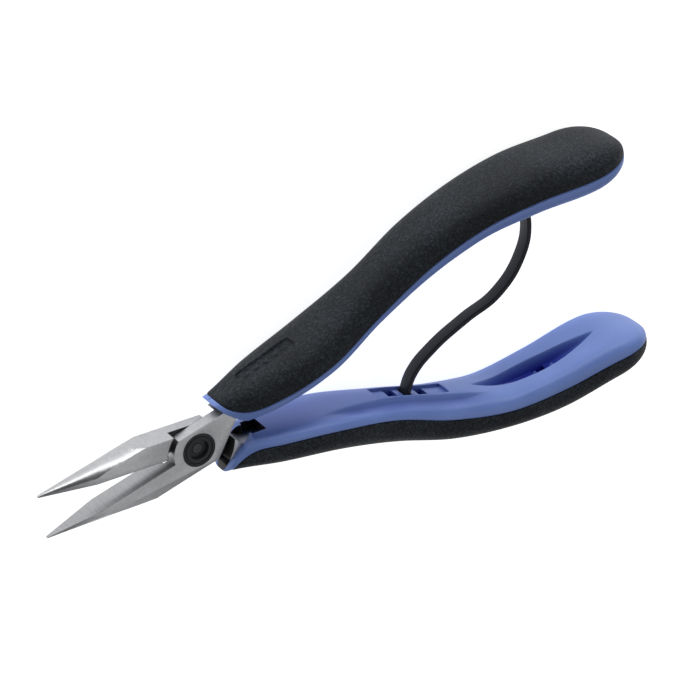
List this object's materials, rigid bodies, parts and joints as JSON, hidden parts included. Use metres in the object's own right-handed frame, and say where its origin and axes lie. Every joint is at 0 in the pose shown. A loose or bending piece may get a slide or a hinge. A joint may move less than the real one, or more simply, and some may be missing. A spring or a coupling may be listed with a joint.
{
  "type": "long nosed jewellery pliers",
  "caption": "Slim long nosed hand pliers with a lap joint, two soft backed moulded handles and a leaf spring that holds them open.",
  "frame": {"origin": "on the pivot axis, where it leaves the flat back of the pivot pin's head", "axes": "+Z along the pivot axis, out of the face that carries the nut; +X towards the handles, halfway between them; +Y towards the handle that holds the leaf spring"},
  "size_m": [0.1513, 0.0626, 0.0189],
  "materials": {
    "steel": "satin, fine ground, with slightly broken edges",
    "pin_steel": "turned and lightly blackened",
    "blackened_steel": "blackened, semi matte",
    "handle_shell": "periwinkle blue moulded plastic, satin",
    "grip": "black soft elastomer with a fine grain",
    "spring_steel": "black coated spring steel, semi gloss",
    "spring_foot": "black moulded plastic"
  },
  "bodies": {
    "front_body": {"front_half": "steel", "upper_handle_shell": "handle_shell", "upper_grip": "grip", "leaf_spring": "spring_steel", "spring_foot": "spring_foot"},
    "rear_body": {"rear_half": "steel", "pivot_pin": "pin_steel", "pivot_nut": "blackened_steel", "lower_handle_shell": "handle_shell", "lower_grip": "grip"}
  },
  "joints": [
    {"name": "jaw_pivot", "type": "hinge", "parent": "front_body", "child": "rear_body", "pos_m": [0, 0, 0], "axis": [0, 0, 1], "range_deg": [-4, 15.8], "stiffness_Nm_per_rad": 0.35, "springref_deg": -6.88, "deforming": ["leaf_spring"]}
  ]
}
